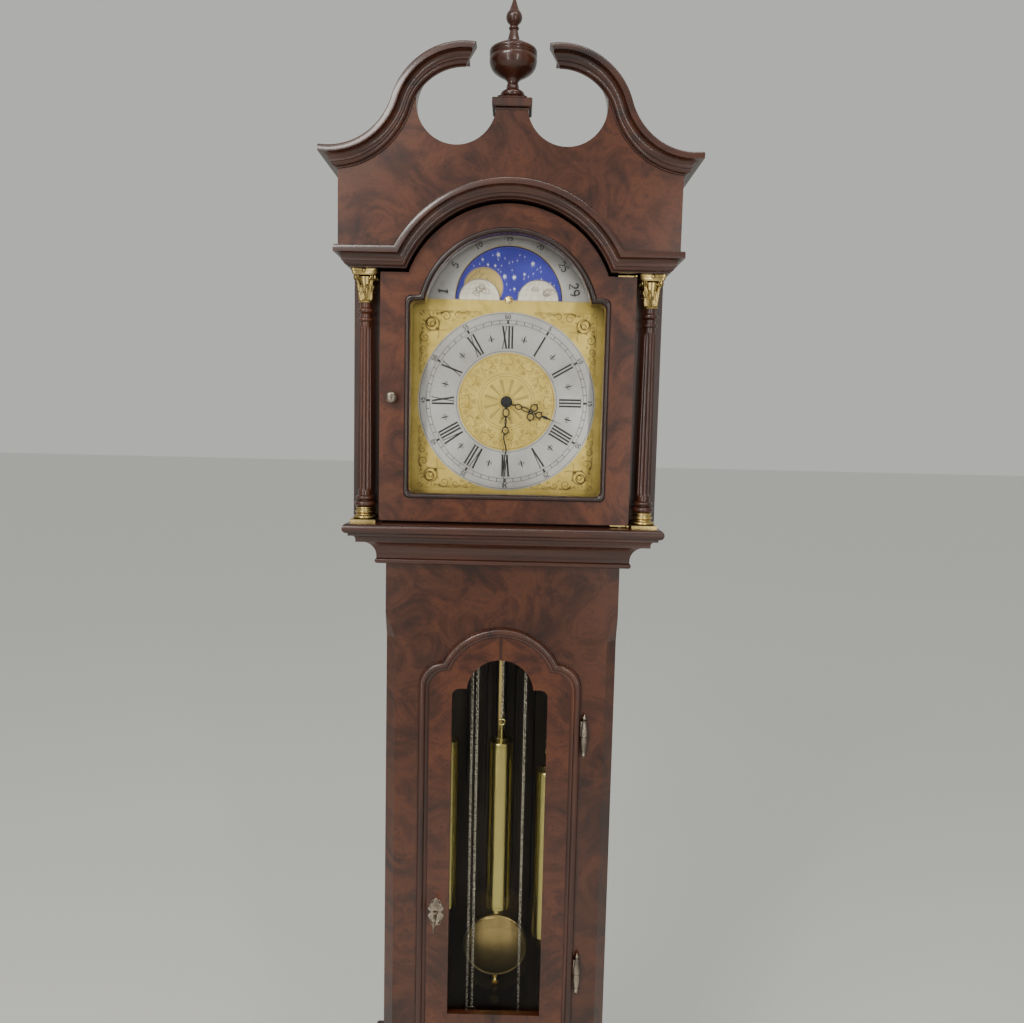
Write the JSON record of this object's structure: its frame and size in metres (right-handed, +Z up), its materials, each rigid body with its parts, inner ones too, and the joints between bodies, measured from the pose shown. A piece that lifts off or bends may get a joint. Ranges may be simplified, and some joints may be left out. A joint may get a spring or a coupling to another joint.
{
  "type": "longcase clock",
  "caption": "Tall wooden longcase clock: swan-neck hood with an arched glazed door and moon dial, glazed trunk door, chain-driven weights and a pendulum.",
  "frame": {"origin": "middle of the footprint, on the floor", "axes": "+Z up, the dial and the doors face -Y, +X to the right as seen from the front"},
  "size_m": [0.494, 0.305, 2.0605],
  "materials": {
    "mahogany": "gloss",
    "burl": "gloss",
    "softwood": "matte",
    "brass": "polished",
    "dial_brass": "satin",
    "silvered": "satin",
    "steel": "satin",
    "antique_silver": "antique",
    "black_paint": "gloss",
    "moon_paint": "gloss",
    "glass": "clear"
  },
  "bodies": {
    "case": {"feet": "steel", "plinth": "mahogany", "base_front": "burl", "base_sides": "mahogany", "base_floor": "softwood", "base_moulding": "mahogany", "trunk_front": "burl", "trunk_sides": "mahogany", "back_board": "softwood", "waist_moulding": "mahogany", "hood_sides": "mahogany", "side_windows": "burl", "hood_frame": "mahogany", "pediment_board": "burl", "roof_board": "softwood", "hood_cornice": "mahogany", "swan_mouldings": "mahogany", "finial": "mahogany", "column_shafts": "mahogany", "column_brasses": "brass", "hinge_pins": "brass", "seat_board": "softwood", "movement_frame": "brass", "dial_plate": "dial_brass", "chapter_ring": "silvered", "centre_disc": "dial_brass", "moon_arch": "silvered", "chime_rods": "steel", "chain_wheels": "brass"},
    "hood_door": {"hood_door": "burl", "hood_door_bead": "mahogany", "hood_glass": "glass", "hood_knob": "antique_silver", "hood_door_pivots": "brass"},
    "trunk_door": {"trunk_door": "burl", "trunk_door_moulding": "mahogany", "trunk_glass": "glass", "trunk_hinge_leaves": "antique_silver", "escutcheon": "antique_silver"},
    "key": {"key": "antique_silver"},
    "minute": {"minute_hand": "black_paint", "centre_arbor": "brass"},
    "hour": {"hour_hand": "black_paint", "hour_wheel": "brass"},
    "motion_wheel": {"minute_wheel": "brass"},
    "third": {"third_wheel": "brass"},
    "escape": {"escape_wheel": "brass"},
    "moon": {"moon_disc": "moon_paint"},
    "pendulum": {"anchor": "steel", "pendulum_rod": "brass", "pendulum_bob": "brass"},
    "weight_left": {"weight_left": "brass", "chain_left": "steel"},
    "weight_centre": {"weight_centre": "brass", "chain_centre": "steel"},
    "weight_right": {"weight_right": "brass", "chain_right": "steel"},
    "end_left": {"free_chain_left": "steel"},
    "end_centre": {"free_chain_centre": "steel"},
    "end_right": {"free_chain_right": "steel"}
  },
  "joints": [
    {"name": "hood_door_hinge", "type": "hinge", "parent": "case", "child": "hood_door", "pos_m": [0.171, -0.1085, 1.542], "axis": [0, 0, 1], "range_deg": [0, 95]},
    {"name": "trunk_door_hinge", "type": "hinge", "parent": "case", "child": "trunk_door", "pos_m": [0.1225, -0.0845, 0.9], "axis": [0, 0, 1], "range_deg": [0, 110]},
    {"name": "key_turn", "type": "hinge", "parent": "trunk_door", "child": "key", "pos_m": [-0.088, -0.079, 0.789], "axis": [0, -1, 0], "range_deg": [0, 90]},
    {"name": "minute_turn", "type": "hinge", "parent": "case", "child": "minute", "pos_m": [0, -0.0585, 1.541], "axis": [0, 1, 0], "continuous": true},
    {"name": "hour_turn", "type": "hinge", "parent": "case", "child": "hour", "pos_m": [0, -0.0585, 1.541], "axis": [0, 1, 0], "continuous": true},
    {"name": "motion_wheel_turn", "type": "hinge", "parent": "case", "child": "motion_wheel", "pos_m": [0.02083, -0.0455, 1.51618], "axis": [0, 1, 0], "continuous": true},
    {"name": "third_turn", "type": "hinge", "parent": "case", "child": "third", "pos_m": [0.02683, 0, 1.5588], "axis": [0, 1, 0], "continuous": true},
    {"name": "escape_turn", "type": "hinge", "parent": "case", "child": "escape", "pos_m": [0, 0, 1.572], "axis": [0, 1, 0], "continuous": true},
    {"name": "moon_turn", "type": "hinge", "parent": "case", "child": "moon", "pos_m": [0, -0.055, 1.682], "axis": [0, 1, 0], "continuous": true},
    {"name": "pendulum_swing", "type": "hinge", "parent": "case", "child": "pendulum", "pos_m": [0, 0.03, 1.6], "axis": [0, 1, 0], "range_deg": [-3, 3]},
    {"name": "weight_left_drop", "type": "slide", "parent": "case", "child": "weight_left", "axis": [0, 0, -1], "range_m": [-0.3, 0.6], "deforming": ["chain_left"]},
    {"name": "chain_end_left_rise", "type": "slide", "parent": "case", "child": "end_left", "axis": [0, 0, -1], "range_m": [-0.6, 0.3], "deforming": ["free_chain_left"]},
    {"name": "weight_centre_drop", "type": "slide", "parent": "case", "child": "weight_centre", "axis": [0, 0, -1], "range_m": [-0.3, 0.6], "deforming": ["chain_centre"]},
    {"name": "chain_end_centre_rise", "type": "slide", "parent": "case", "child": "end_centre", "axis": [0, 0, -1], "range_m": [-0.6, 0.3], "deforming": ["free_chain_centre"]},
    {"name": "weight_right_drop", "type": "slide", "parent": "case", "child": "weight_right", "axis": [0, 0, -1], "range_m": [-0.34, 0.57], "deforming": ["chain_right"]},
    {"name": "chain_end_right_rise", "type": "slide", "parent": "case", "child": "end_right", "axis": [0, 0, -1], "range_m": [-0.57, 0.34], "deforming": ["free_chain_right"]}
  ],
  "couplings": [
    {"joint": "hour_turn", "follows": "minute_turn", "ratio": 0.083333},
    {"joint": "motion_wheel_turn", "follows": "minute_turn", "ratio": -0.33333},
    {"joint": "third_turn", "follows": "minute_turn", "ratio": -8},
    {"joint": "escape_turn", "follows": "minute_turn", "ratio": 60},
    {"joint": "moon_turn", "follows": "minute_turn", "ratio": 0.00070621},
    {"joint": "chain_end_left_rise", "follows": "weight_left_drop", "ratio": -1},
    {"joint": "chain_end_centre_rise", "follows": "weight_centre_drop", "ratio": -1},
    {"joint": "chain_end_right_rise", "follows": "weight_right_drop", "ratio": -1}
  ]
}
